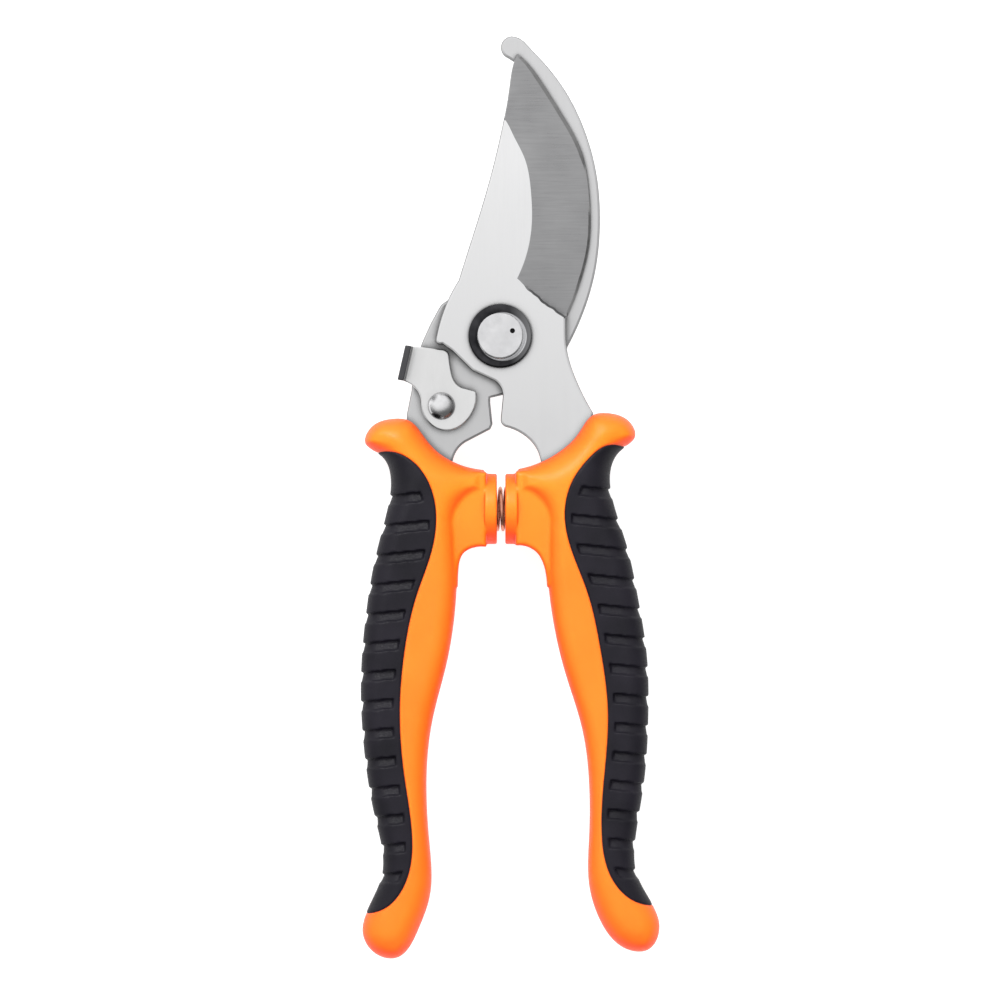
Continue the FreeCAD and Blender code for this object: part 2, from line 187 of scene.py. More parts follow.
BLADE_OUTLINE = outline(
    BLADE_TIP,
    CUTTING_EDGE,
    [(14.1, -0.4)],
    [(14.6, -4.2), (16.4, -9.6), (20.0, -16.6)],
    [(20.5, -32.0), (21.8, -46.0), (24.0, -60.0), (25.2, -73.0)],
    [(22.6, -75.6), (20.0, -73.0)],
    [(18.4, -60.0), (15.4, -46.0), (11.4, -34.0), (8.7, -26.8)],
    [(6.9, -23.0), (4.0, -20.7), (1.5, -19.7)],
    [(0.3, -18.9), (0.1, -17.7)],
    [(0.5, -13.6)],
    [(0.3, -11.6), (-1.2, -9.7)],
    [(-6.0, -7.5)],
    [(-10.4, -3.2)],
    [(-12.6, -1.7)],
    [(-13.5, -1.7), (-13.9, -0.6)],
    [(-12.9, 3.5), (-11.2, 8.0), (-9.0, 12.0)],
    [(-7.0, 18.4), (-3.5, 29.6), (-1.2, 38.1), (0.7, 46.6)],
    [(1.9, 53.6), (2.5, 57.6), BLADE_TIP],
)
BEVEL_INNER = [
    (-0.8, 48.2), (0.9, 46.8), (2.7, 43.5), (5.2, 38.4), (6.6, 31.0), (6.8, 25.0), (6.1, 19.4), (3.6, 12.4),
]
HEEL_END = (14.1, 3.7)
LEFT_HULL = outline(
    (-3.5, -28.8),
    [
        (-9.6, -27.3), (-13.4, -25.0), (-16.6, -21.4), (-19.4, -18.3), (-23.6, -17.8), (-28.2, -19.9),
        (-29.3, -23.0), (-25.6, -26.0), (-23.8, -29.6), (-24.3, -37.0), (-26.8, -47.0), (-29.0, -60.0),
        (-30.1, -75.0), (-29.2, -91.0), (-27.0, -104.0), (-25.5, -116.0), (-28.6, -123.6),
        (-29.8, -128.6), (-26.8, -133.4), (-22.4, -134.2), (-17.6, -128.0), (-15.1, -120.6), (-15.3, -109.0),
        (-15.9, -97.0), (-14.6, -83.0), (-11.6, -71.0), (-9.8, -60.0), (-9.3, -51.0),
    ],
    [(-9.8, -40.0)],
    [(-7.7, -36.0), (-3.5, -33.7)],
)
RIGHT_HULL = outline(
    (3.8, -28.6),
    [
        (9.4, -26.8), (13.6, -24.2), (16.8, -20.9), (19.9, -17.0), (23.8, -16.6), (28.0, -18.5),
        (29.2, -21.6), (25.9, -24.8), (23.9, -28.4), (24.4, -36.0), (27.2, -45.0), (29.6, -56.0),
        (31.6, -69.0), (31.9, -82.0), (31.0, -96.0), (29.3, -107.0), (29.3, -115.6), (32.4, -121.9),
        (34.4, -127.4), (32.0, -132.4), (27.4, -132.4), (21.4, -126.0), (19.1, -118.6), (19.1, -108.0),
        (19.1, -97.0), (17.5, -84.5), (14.0, -73.0), (11.4, -62.0), (10.1, -51.0),
    ],
    [(10.2, -40.0)],
    [(8.4, -36.2), (3.8, -33.7)],
)
LEFT_RUBBER = outline(
    (-60.0, -25.2),
    [(-26.6, -25.2)],
    [
        (-23.0, -25.0), (-19.4, -26.6), (-15.4, -31.6), (-13.8, -38.4), (-14.8, -46.6), (-18.0, -56.0),
        (-20.6, -68.0), (-21.6, -81.0), (-20.6, -95.0), (-19.0, -107.0), (-20.2, -117.4), (-24.0, -122.8),
        (-30.0, -124.6),
    ],
    [(-60.0, -124.6)],
)
RIGHT_RUBBER = outline(
    (60.0, -23.8),
    [(26.4, -23.8)],
    [
        (22.6, -23.7), (19.0, -26.4), (15.3, -31.6), (13.8, -38.6), (15.2, -46.0), (18.6, -55.0),
        (21.4, -67.0), (23.1, -81.0), (22.2, -96.0), (21.8, -108.0), (24.0, -117.0), (28.4, -121.6),
        (33.6, -122.8),
    ],
    [(60.0, -122.8)],
)
LEFT_PANEL = outline(
    (-3.0, -29.4),
    [(-3.0, -45.5)],
    [(-5.9, -45.7), (-8.0, -46.9), (-9.0, -49.6), (-9.3, -54.0)],
    [(-12.0, -54.0)],
    [(-12.0, -29.4)],
)
RIGHT_PANEL = outline(
    (3.3, -29.2),
    [(3.3, -45.2)],
    [(5.6, -45.4), (7.9, -46.8), (9.4, -49.6), (10.1, -54.0)],
    [(13.0, -54.0)],
    [(13.0, -29.2)],
)
SIDES = {
    "left": {
        "outwards": -1,
        "body": "hook_half",
        "hull": LEFT_HULL,
        "rubber": LEFT_RUBBER,
        "panel": LEFT_PANEL,
        "first_groove": -33.9,
    },
    "right": {
        "outwards": 1,
        "body": "blade_half",
        "hull": RIGHT_HULL,
        "rubber": RIGHT_RUBBER,
        "panel": RIGHT_PANEL,
        "first_groove": -32.6,
    },
}
GROOVE_COUNT = 14
GROOVE_PITCH = 6.26
GROOVE_WIDTH = 2.2
GROOVE_END = 1.4
FIRST_GROOVE_END = 2.4
GROOVE_TILT = math.tan(math.radians(6))
GROOVE_LEVEL_X = 20
GROOVE_LIP = 0.16
GROOVE_DEEP, GROOVE_SLOPE = 1.15, 0.75
UNDERLAP = 0.14
CREST_START, CREST_REACH = 1.2, 2.2
COLLAR_RADIUS, COLLAR_HALF, COLLAR_ROUND = 7.6, 1.35, 0.35
SOCKET_RADIUS, SOCKET_DEPTH = 5.2, 7.8
PANEL_HALF, PANEL_ROUND = 6.4, 1.0


# ---- solid forms from distance fields


def grid(low, high, cell):
    axes = [np.arange(a, b + cell, cell) for a, b in zip(low, high)]
    return axes, np.meshgrid(*axes, indexing="ij", sparse=True)


def flat_distance(xs, ys, loop):
    """Distance to the loop at each grid point in plan, negative inside."""
    px, py = (v.ravel() for v in np.meshgrid(xs, ys, indexing="ij"))
    nearest = np.full(len(px), 1e9)
    inside = np.zeros(len(px), bool)
    for (ax, ay), (bx, by) in zip(loop, np.roll(loop, -1, 0)):
        ex, ey = bx - ax, by - ay
        along = np.clip(((px - ax) * ex + (py - ay) * ey) / (ex * ex + ey * ey), 0, 1)
        nearest = np.minimum(nearest, (px - ax - along * ex) ** 2 + (py - ay - along * ey) ** 2)
        if ay != by:
            between = (ay > py) != (by > py)
            inside ^= between & (px < ax + (py - ay) / ey * ex)
    signed = np.where(inside, -1, 1) * np.sqrt(nearest)
    return signed.reshape(len(xs), len(ys), 1)


def eased(flat, cell, reach):
    """The plan distance with its middle ridge smoothed over, so that a rounded form has no crease."""
    depth = flat[..., 0]
    soft = depth
    width = max(1, int(round(reach / cell / 2)))
    for _ in range(3):
        for axis in (0, 1):
            total = sum(np.roll(soft, n, axis) for n in range(-width, width + 1))
            soft = total / (2 * width + 1)
    share = np.clip((-depth - CREST_START) / CREST_REACH, 0, 1)
    share = share * share * (3 - 2 * share)
    return (depth + (soft - depth) * share)[..., None]


def rounded(flat, z, middle, half, radius):
    """A slab of the plan shape with its edges rounded."""
    side = flat + radius
    up = np.abs(z - middle) - (half - radius)
    return np.minimum(np.maximum(side, up), 0) + np.hypot(np.maximum(side, 0), np.maximum(up, 0)) - radius


def soft_min(a, b, blend):
    mix = np.clip(0.5 + 0.5 * (b - a) / blend, 0, 1)
    return b + (a - b) * mix - blend * mix * (1 - mix)


def soft_max(a, b, blend):
    return -soft_min(-a, -b, blend)


def net(field, low, cell):
    """Quads round the region where the field is negative, one vertex in each crossed cell."""
    cells = tuple(n - 1 for n in field.shape)
    total = np.zeros((*cells, 3), np.float32)
    count = np.zeros(cells, np.float32)
    crossings = []
    for axis in range(3):
        start = tuple(slice(0, -1) if k == axis else slice(None) for k in range(3))
        end = tuple(slice(1, None) if k == axis else slice(None) for k in range(3))
        a, b = field[start], field[end]
        crossed = (a < 0) != (b < 0)
        part = np.where(crossed, a / np.where(crossed, a - b, 1), 0).astype(np.float32)
        crossings.append((crossed, a < 0))
        first, second = (axis + 1) % 3, (axis + 2) % 3
        for i in (0, 1):
            for j in (0, 1):
                pick = [slice(None)] * 3
                pick[first] = slice(i, cells[first] + i)
                pick[second] = slice(j, cells[second] + j)
                here = crossed[tuple(pick)]
                count += here
                total[..., axis] += part[tuple(pick)]
                total[..., first] += here * i
                total[..., second] += here * j
    used = count > 0
    number = np.full(cells, -1)
    number[used] = np.arange(used.sum())
    places = np.argwhere(used) + total[used] / count[used][:, None]
    faces = []
    for axis, (crossed, outward) in enumerate(crossings):
        first, second = (axis + 1) % 3, (axis + 2) % 3
        spots = np.argwhere(crossed)
        spots = spots[(spots[:, first] > 0) & (spots[:, second] > 0)]
        spots = spots[(spots[:, first] < cells[first]) & (spots[:, second] < cells[second])]
        step_1, step_2 = np.eye(3, dtype=int)[first], np.eye(3, dtype=int)[second]
        ring = [spots - step_1 - step_2, spots - step_2, spots, spots - step_1]
        quad = np.stack([number[tuple(r.T)] for r in ring], 1)
        faces.append(np.where(outward[tuple(spots.T)][:, None], quad, quad[:, ::-1]))
    return np.array(low) + places * cell, np.concatenate(faces)


def sample(field, places, low, cell):
    """The field's value and slope between its grid points."""
    at = (places - np.array(low)) / cell
    base = np.clip(np.floor(at).astype(int), 0, np.array(field.shape) - 2)
    f = at - base
    corner = {}
    for i in (0, 1):
        for j in (0, 1):
            for k in (0, 1):
                corner[i, j, k] = field[base[:, 0] + i, base[:, 1] + j, base[:, 2] + k]
    wx, wy, wz = ((1 - f[:, n], f[:, n]) for n in range(3))
    value = sum(corner[i, j, k] * wx[i] * wy[j] * wz[k] for i, j, k in corner)
    slope_x = sum((2 * i - 1) * corner[i, j, k] * wy[j] * wz[k] for i, j, k in corner)
    slope_y = sum((2 * j - 1) * corner[i, j, k] * wx[i] * wz[k] for i, j, k in corner)
    slope_z = sum((2 * k - 1) * corner[i, j, k] * wx[i] * wy[j] for i, j, k in corner)
    return value, np.stack([slope_x, slope_y, slope_z], 1) / cell


def relaxed(places, faces, field, low, cell, rounds=3):
    """Evens the net's vertices out and sets them back on the surface."""
    pairs = np.concatenate([faces[:, [0, 1]], faces[:, [1, 2]], faces[:, [2, 3]], faces[:, [3, 0]]])
    many = np.bincount(pairs[:, 0], minlength=len(places)) + np.bincount(pairs[:, 1], minlength=len(places))
    for _ in range(rounds):
        total = np.zeros_like(places)
        for n in range(3):
            total[:, n] += np.bincount(pairs[:, 0], places[pairs[:, 1], n], len(places))
            total[:, n] += np.bincount(pairs[:, 1], places[pairs[:, 0], n], len(places))
        places = places * 0.5 + total / many[:, None] * 0.5
        value, slope = sample(field, places, low, cell)
        steep = np.maximum((slope**2).sum(1), 0.05)
        places = places - np.clip(value / steep, -cell, cell)[:, None] * slope
    return places


def new_object(name, places, faces, material):
    mesh = bpy.data.meshes.new(name)
    mesh.from_pydata(to_frame(places).tolist(), [], [list(map(int, f)) for f in faces])
    mesh.materials.append(material)
    mesh.shade_smooth()
    mesh.validate()
    piece = bpy.data.objects.new(name, mesh)
    bpy.context.scene.collection.objects.link(piece)
    return piece


def form(name, build_field, low, high, cell, material, rounds=3):
    """A piece whose surface is where the built field is zero."""
    axes, spots = grid(low, high, cell)
    field = np.ascontiguousarray(build_field(axes, spots)).astype(np.float32)
    places, faces = net(field, low, cell)
    places = relaxed(places, faces, field, low, cell, rounds)
    return new_object(name, places, faces, material)


# ---- materials


class Nodes:
    """A short way to write a material's node tree."""

    def __init__(self, name):
        self.material = bpy.data.materials.new(name)
        self.material.use_nodes = True
        self.tree = self.material.node_tree
        self.shader = self.tree.nodes["Principled BSDF"]

    @classmethod
    def of(cls, material):
        """The same short way, for a material that is already made."""
        nodes = cls.__new__(cls)
        nodes.material, nodes.tree = material, material.node_tree
        nodes.shader = nodes.tree.nodes["Principled BSDF"]
        return nodes

    def add(self, kind, inputs=None, **settings):
        node = self.tree.nodes.new(kind)
        for key, value in settings.items():
            setattr(node, key, value)
        for key, value in (inputs or {}).items():
            if isinstance(value, bpy.types.NodeSocket):
                self.tree.links.new(value, node.inputs[key])
            else:
                node.inputs[key].default_value = value
        return node

    def set(self, **values):
        for key, value in values.items():
            socket = self.shader.inputs[key.replace("_", " ")]
            if isinstance(value, bpy.types.NodeSocket):
                self.tree.links.new(value, socket)
            else:
                socket.default_value = value

    def here(self, kind="Object"):
        """The piece's own coordinates in metres, or its surface direction."""
        return self.add("ShaderNodeTexCoord").outputs[kind]

    def axes(self, vector):
        """The X, Y and Z of a vector."""
        return self.add("ShaderNodeSeparateXYZ", {0: vector}).outputs

    def math(self, operation, first, second=0.5, **settings):
        return self.add("ShaderNodeMath", {0: first, 1: second}, operation=operation, **settings).outputs[0]

    def distance(self, first, second):
        return self.add("ShaderNodeVectorMath", {0: first, 1: second}, operation="DISTANCE").outputs["Value"]

    def open_air(self, distance):
        """How much of the surroundings a point sees within the distance: low in corners."""
        return self.add("ShaderNodeAmbientOcclusion", {"Distance": distance}, samples=6).outputs["AO"]

    def fed(self, name):
        """What the shader's socket is fed with so far."""
        return self.shader.inputs[name].links[0].from_socket

    def place(self, scale=(1, 1, 1), turn=(0, 0, 0)):
        """The piece's own coordinates, stretched and turned."""
        inputs = {"Vector": self.here(), "Rotation": turn, "Scale": scale}
        return self.add("ShaderNodeMapping", inputs).outputs[0]

    def noise(self, place, scale, detail=4.0, roughness=0.5):
        inputs = {"Vector": place, "Scale": scale, "Detail": detail, "Roughness": roughness}
        return self.add("ShaderNodeTexNoise", inputs).outputs["Fac"]

    def ramp(self, value, low, high, from_low=0.0, from_high=1.0):
        """A number or colour that runs from low to high as value does."""
        if isinstance(low, tuple):
            return self.blended(self.ramp(value, 0.0, 1.0, from_low, from_high), low, high)
        inputs = {"Value": value, "From Min": from_low, "From Max": from_high, "To Min": low, "To Max": high}
        return self.add("ShaderNodeMapRange", inputs).outputs[0]

    def blended(self, share, first, second):
        """Two colours mixed by a share of the second."""
        mix = self.add("ShaderNodeMix", data_type="RGBA")
        self.tree.links.new(share, mix.inputs[0])
        for socket, colour in zip((s for s in mix.inputs if s.type == "RGBA"), (first, second)):
            if isinstance(colour, tuple):
                socket.default_value = (*colour, 1)
            else:
                self.tree.links.new(colour, socket)
        return next(s for s in mix.outputs if s.type == "RGBA")

    def bump(self, height, strength, distance):
        inputs = {"Height": height, "Strength": strength, "Distance": distance}
        return self.add("ShaderNodeBump", inputs).outputs[0]


# How far a noise swings about its middle before a ramp reaches its ends.
SWING = (0.35, 0.65)
WIDE_SWING = (0.3, 0.7)
FADE_START, FADE_END = -0.03, 0.045
# Painted shade on the steel, in its corners and beside taller pieces: how far it reaches, and its colour.
CORNER_SHADE_REACH, CORNER_SHADE = 0.002, (0.04, 0.04, 0.04)
# Painted shade on the orange: how far its corner shade reaches, and the redder colour it turns to.
ORANGE_SHADE_REACH, SHADED_ORANGE = 0.003, (0.98, 0.085, 0.012)
PUNCH = (2.6, 1.1)
TAB_TOP = 15.9
# Where the washer's painted highlight lies: a bright crescent by the bolt's head.
HIGHLIGHT_CENTRE = (0.42, -0.14)
HIGHLIGHT_RADIUS = 5.22
HIGHLIGHT_SOFTNESS = 0.1


def brushed_steel(name, dark, light, rough, lines=(900.0, 60.0, 200.0), turn=0.0, strength=0.25, fade=1.0):
    """Ground or brushed steel: fine scratches, cloudy wear, and painted shade in its corners and at the foot
    of walls, where little of the surroundings is seen.
    A fade below 1 darkens it towards the tang."""
    m = Nodes(name)
    scratches = m.noise(m.place(lines, (0, 0, turn)), 1.0, 6.0, 0.65)
    clouds = m.noise(m.place(), 90.0, 3.0)
    half = m.math("MULTIPLY", m.math("ADD", scratches, clouds), 0.5)
    colour = m.ramp(half, dark, light, *WIDE_SWING)
    # Darker towards the tang, set by position along Y.
    if fade < 1:
        along = m.axes(m.here())["Y"]
        tone_shift = m.ramp(along, 1.0, 0.0, pivot_y + FADE_START, pivot_y + FADE_END)
        colour = m.blended(tone_shift, colour, tuple(fade * tone for tone in dark))
    # Painted shade: darker where little of the surroundings is seen, in corners and beside taller pieces.
    corner_shade = m.ramp(m.open_air(CORNER_SHADE_REACH), 0.85, 0.0, 0.4, 0.85)
    m.set(Base_Color=m.blended(corner_shade, colour, CORNER_SHADE))
    m.set(Metallic=1.0, Roughness=m.ramp(half, rough - 0.06, rough + 0.08, *WIDE_SWING))
    m.set(Normal=m.bump(scratches, strength, 0.00002))
    return m.material


def polished_steel(name, dark, light, rough):
    """Turned or drawn metal, with cloudy handling marks."""
    m = Nodes(name)
    clouds = m.noise(m.place(), 260.0, 5.0)
    m.set(Base_Color=m.ramp(clouds, dark, light, *SWING), Metallic=1.0)
    m.set(Roughness=m.ramp(clouds, rough - 0.05, rough + 0.07, *SWING))
    m.set(Normal=m.bump(m.noise(m.place(), 1500.0), 0.08, 0.00002))
    return m.material


def orange_plastic():
    """Moulded nylon with a fine grain, yellower towards the hump than along the grip, and painted shade
    turning it redder on steep sides, on faces turned towards the handle ends and in corners.
    """
    m = Nodes("orange_plastic")
    clouds = m.noise(m.place(), 45.0, 3.0)
    grain = m.noise(m.place(), 2600.0, 3.0)
    upper = m.ramp(clouds, (0.93, 0.225, 0.008), (0.96, 0.26, 0.014), *SWING)
    lower = m.ramp(clouds, (0.93, 0.185, 0.008), (0.96, 0.215, 0.013), *SWING)
    along = m.axes(m.here())["Y"]
    body = m.blended(m.ramp(along, 1.0, 0.0, pivot_y - 0.055, pivot_y - 0.03), upper, lower)
    facing = m.axes(m.here("Normal"))
    # Painted shade: redder on steep sides, on faces turned towards the handle ends, and in corners where
    # little of the surroundings is seen.
    steep = m.ramp(m.math("ABSOLUTE", facing["Z"]), 0.85, 0.0, 0.2, 0.97)
    under = m.ramp(facing["Y"], 0.8, 0.0, -0.9, -0.1)
    corner = m.ramp(m.open_air(ORANGE_SHADE_REACH), 0.75, 0.0, 0.35, 0.85)
    share = m.math("ADD", m.math("ADD", steep, under), corner, use_clamp=True)
    m.set(Base_Color=m.blended(share, body, SHADED_ORANGE))
    m.set(Roughness=m.ramp(grain, 0.36, 0.5, *SWING), Normal=m.bump(grain, 0.12, 0.00003))
    m.set(Subsurface_Weight=0.2, Subsurface_Radius=(0.006, 0.0012, 0.0004), Subsurface_Scale=0.4)
    m.set(IOR=1.42, Specular_IOR_Level=0.35)
    return m.material


def black_rubber():
    """Moulded thermoplastic rubber, slightly dusty, with a fine grain."""
    m = Nodes("black_rubber")
    clouds = m.noise(m.place(), 120.0, 5.0)
    grain = m.noise(m.place(), 3200.0, 2.0)
    m.set(Base_Color=m.ramp(clouds, (0.005, 0.0045, 0.0075), (0.011, 0.0095, 0.015), *WIDE_SWING))
    m.set(Roughness=m.ramp(grain, 0.45, 0.62, *SWING), Normal=m.bump(grain, 0.3, 0.00004))
    m.set(IOR=1.4, Specular_IOR_Level=0.25)
    return m.material


def bolt_steel():
    """The bolt's bright steel, with the punch mark's recess in its head coloured near-black."""
    material = polished_steel("bolt_steel", (0.58, 0.58, 0.59), (0.68, 0.68, 0.69), 0.26)
    m = Nodes.of(material)
    punch = tuple(to_frame((*PUNCH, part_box("pivot_bolt")[1].z / MM)))
    sunk = m.ramp(m.axes(m.here())["Z"], 1.0, 0.0, punch[2] - 0.2 * MM, punch[2] - 0.1 * MM)
    near = m.ramp(m.distance(m.here(), punch), 1.0, 0.0, 0.9 * MM, 1.0 * MM)
    mark = m.math("MULTIPLY", sunk, near)
    m.set(Base_Color=m.blended(mark, m.fed("Base Color"), (0.004, 0.004, 0.004)))
    m.set(Metallic=m.ramp(mark, 1.0, 0.0), Roughness=m.ramp(mark, 0.22, 0.9))
    return material


def ring_steel():
    """The washer's blackened steel, with a painted highlight in a bright crescent by the bolt's head, and
    its right side painted greyer as if lit.
    """
    material = polished_steel("ring_steel", (0.018, 0.018, 0.02), (0.05, 0.05, 0.054), 0.2)
    m = Nodes.of(material)
    middle = (pivot_x, pivot_y, 0)
    away = m.axes(m.add("ShaderNodeVectorMath", {0: m.here(), 1: middle}, operation="SUBTRACT").outputs[0])
    flat = m.add("ShaderNodeCombineXYZ", {"X": away["X"], "Y": away["Y"]}).outputs[0]
    reach = m.distance(flat, (HIGHLIGHT_CENTRE[0] * MM, HIGHLIGHT_CENTRE[1] * MM, 0))
    ends = ((HIGHLIGHT_RADIUS - HIGHLIGHT_SOFTNESS) * MM, (HIGHLIGHT_RADIUS + HIGHLIGHT_SOFTNESS) * MM)
    # Painted highlight: the bright crescent by the bolt's head.
    tone_shift = m.ramp(reach, 1.0, 0.0, *ends)
    # Painted light: the right side greyer, as if lit.
    lit_side = m.ramp(away["X"], 0.0, 1.0, 2.0 * MM, 6.5 * MM)
    greyed = m.blended(lit_side, m.fed("Base Color"), (0.17, 0.17, 0.175))
    m.set(Base_Color=m.blended(tone_shift, greyed, (0.72, 0.72, 0.73)))
    return material


def latch_steel():
    """The latch's rolled sheet, darker and rougher where its tab was sheared off."""
    lines = (400.0, 120.0, 200.0)
    material = brushed_steel("latch_steel", (0.64, 0.64, 0.64), (0.76, 0.76, 0.76), 0.34, lines)
    m = Nodes.of(material)
    height = m.axes(m.here())["Z"]
    sheared = m.ramp(height, 0.0, 1.0, (TAB_TOP - 0.35) * MM, (TAB_TOP - 0.1) * MM)
    m.set(Base_Color=m.blended(sheared, m.fed("Base Color"), (0.1, 0.1, 0.105)))
    m.set(Roughness=m.math("ADD", m.fed("Roughness"), m.ramp(sheared, 0.0, 0.2)))
    return material


GRIND_TURN = math.radians(-6)
MATERIALS = {
    "hook_steel": brushed_steel("hook_steel", (0.6, 0.6, 0.605), (0.68, 0.68, 0.685), 0.36, fade=0.89),
    "blade_steel": brushed_steel("blade_steel", (0.76, 0.76, 0.765), (0.86, 0.86, 0.865), 0.36, fade=0.84),
    "ground_steel": brushed_steel(
        "ground_steel", (0.25, 0.25, 0.255), (0.37, 0.37, 0.375), 0.3,
        (120.0, 2600.0, 300.0), GRIND_TURN, 0.4,
    ),
    # The honed strip along the cutting edge: a real steeper strip, whose darker colour is painted shade
    # standing for the shadow line beside the hook.
    "honed_steel": brushed_steel(
        "honed_steel", (0.17, 0.17, 0.17), (0.3, 0.3, 0.3), 0.34,
        (700.0, 500.0, 300.0), GRIND_TURN, 0.4,
    ),
    # Steel for the plates' walls and eased edges: partly the real darker, rougher blanked edge, partly
    # painted shade that draws dark outline lines along the plates.
    "sheared_steel": brushed_steel(
        "sheared_steel", (0.1, 0.1, 0.1), (0.2, 0.2, 0.2), 0.42, (300.0, 300.0, 1400.0), 0.0, 0.5
    ),
    "latch_steel": latch_steel(),
    "bright_steel": polished_steel("bright_steel", (0.5, 0.5, 0.505), (0.8, 0.8, 0.81), 0.28),
    "ring_steel": ring_steel(),
    "dark_steel": polished_steel("dark_steel", (0.06, 0.06, 0.065), (0.13, 0.13, 0.14), 0.22),
    "plain_steel": polished_steel("plain_steel", (0.42, 0.42, 0.43), (0.55, 0.55, 0.56), 0.34),
    "bronze": polished_steel("bronze", (0.36, 0.22, 0.1), (0.48, 0.31, 0.15), 0.34),
    "copper_spring": polished_steel("copper_spring", (0.52, 0.17, 0.1), (0.8, 0.4, 0.28), 0.27),
    "orange_plastic": orange_plastic(),
    "black_rubber": black_rubber(),
}


def give_materials():
    """The frame's own nodes take the finish of their material slot."""
    for part in frame["record"]["subparts"]:
        slots = frame["nodes"][part["node"]].material_slots
        for slot in slots:
            slot.material = MATERIALS[part["material_slot"]]
    for slot in frame["nodes"]["pivot_bolt"].material_slots:
        slot.material = bolt_steel()


# ---- handles and grips


def side_limits(side, margin=1.0):
    hull, panel = side["hull"], side["panel"]
    both = np.concatenate([hull, panel, [[side["outwards"] * 0.6, SPRING_Y]]])
    low, high = both.min(0) - margin, both.max(0) + margin
    return (*low, -margin), (*high, 2 * MID_HEIGHT + margin)


def edge_radius(y):
    """The handle's edges are fuller over the hump and the bulb than along the grip."""
    hump = np.clip((y + 44.0) / 16.0, 0, 1)
    bulb = np.clip((-112.0 - y) / 12.0, 0, 1)
    return 4.3 + 2.0 * hump * hump * (3 - 2 * hump) + 1.2 * bulb * bulb * (3 - 2 * bulb)


def hull_field(side, axes, z, radius):
    flat = flat_distance(axes[0], axes[1], side["hull"])
    cell = axes[0][1] - axes[0][0]
    return flat, rounded(eased(flat, cell, CREST_REACH), z, MID_HEIGHT, HALF_HEIGHT, radius)


def flange_field(side, x, y, z):
    """The round collar at the handle's end of the spring."""
    box_low, box_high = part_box(f"{side['name']}_handle")
    face = (box_high.x if side["outwards"] < 0 else box_low.x) / MM - pivot_x / MM
    middle = face + side["outwards"] * COLLAR_HALF
    around = np.hypot(y - SPRING_Y, z - MID_HEIGHT)
    out = around - COLLAR_RADIUS + COLLAR_ROUND
    along = np.abs(x - middle) - COLLAR_HALF + COLLAR_ROUND
    beyond = np.hypot(np.maximum(out, 0), np.maximum(along, 0))
    collar = np.minimum(np.maximum(out, along), 0) + beyond - COLLAR_ROUND
    socket = np.maximum(around - SOCKET_RADIUS, side["outwards"] * (x - face) - SOCKET_DEPTH)
    return collar, socket


def handle_field(side):
    def build(axes, spots):
        x, y, z = spots
        _, hull = hull_field(side, axes, z, edge_radius(y))
        zone = flat_distance(axes[0], axes[1], side["rubber"])
        panel_flat = flat_distance(axes[0], axes[1], side["panel"])
        panel = rounded(panel_flat, z, MID_HEIGHT, PANEL_HALF, PANEL_ROUND)
        collar, socket = flange_field(side, x, y, z)
        border = -UNDERLAP - zone
        hard = soft_max(hull + 0.08, border, 0.5)
        hard = soft_min(hard, np.maximum(panel, border), 0.7)
        hard = soft_min(hard, collar, 0.3)
        return np.maximum(hard, -socket)

    return build


def groove_depth(side, flat_zone, flat_hull, x, y):
    """How far the rubber is cut back: deep under each groove's upper lip, shallower below."""
    level = y + GROOVE_TILT * side["outwards"] * (x - side["outwards"] * GROOVE_LEVEL_X)
    below = side["first_groove"] - level
    within = np.mod(below, GROOVE_PITCH)
    counted = (below > 0) & (below < GROOVE_COUNT * GROOVE_PITCH)
    rise = np.clip(within / GROOVE_LIP, 0, 1) * np.clip((GROOVE_WIDTH - within) / GROOVE_LIP, 0, 1)
    depth = (GROOVE_DEEP - GROOVE_SLOPE * within / GROOVE_WIDTH) * rise
    end = np.where(below < GROOVE_PITCH, FIRST_GROOVE_END, GROOVE_END)
    ending = np.clip((-flat_zone - end) / GROOVE_LIP, 0, 1)
    flank = 0.42 + 0.58 * np.clip(-flat_hull / 3.5, 0, 1)
    return np.where(counted, depth, 0) * ending * flank


def grip_field(side):
    def build(axes, spots):
        x, y, z = spots
        flat, hull = hull_field(side, axes, z, edge_radius(y))
        zone = flat_distance(axes[0], axes[1], side["rubber"])
        return soft_max(hull + groove_depth(side, zone, flat, x, y), zone, 0.5)

    return build


def make_sides(cell):
    for name, side in SIDES.items():
        side["name"] = name
        low, high = side_limits(side)
        for part, node, slot, build in (
            ("handle_body", "handle", "orange_plastic", handle_field(side)),
            ("rubber_grip", "grip", "black_rubber", grip_field(side)),
        ):
            piece = form(f"{name}_{part}", build, low, high, cell, MATERIALS[slot])
            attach(piece, side["body"])
            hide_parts(f"{name}_{node}")
            piece.visible_glossy = part != "handle_body"


# ---- steel plates


def anticlockwise(loop):
    after = np.roll(loop, -1, 0)
    area = (loop[:, 0] * after[:, 1] - after[:, 0] * loop[:, 1]).sum()
    return loop if area > 0 else loop[::-1]


def inward(loop):
    """The direction into the outline at each of its points."""
    edges = np.roll(loop, -1, 0) - loop
    edges /= np.hypot(*edges.T)[:, None]
    both = edges + np.roll(edges, 1, 0)
    both /= np.maximum(np.hypot(*both.T), 0.3)[:, None]
    return np.stack([-both[:, 1], both[:, 0]], 1)


def line_distance(points, line):
    """Distance from each point to an open line in plan."""
    nearest = np.full(len(points), 1e9)
    for a, b in zip(line[:-1], line[1:]):
        edge = b - a
        along = np.clip(((points - a) @ edge) / (edge @ edge), 0, 1)
        nearest = np.minimum(nearest, ((points - a - along[:, None] * edge) ** 2).sum(1))
    return np.sqrt(nearest)


def inside(points, loop):
    found = np.zeros(len(points), bool)
    for (ax, ay), (bx, by) in zip(loop, np.roll(loop, -1, 0)):
        if ay != by:
            between = (ay > points[:, 1]) != (by > points[:, 1])
            found ^= between & (points[:, 0] < ax + (points[:, 1] - ay) / (by - ay) * (bx - ax))
    return found


def flat_top(high):
    return lambda points: np.full(len(points), high)


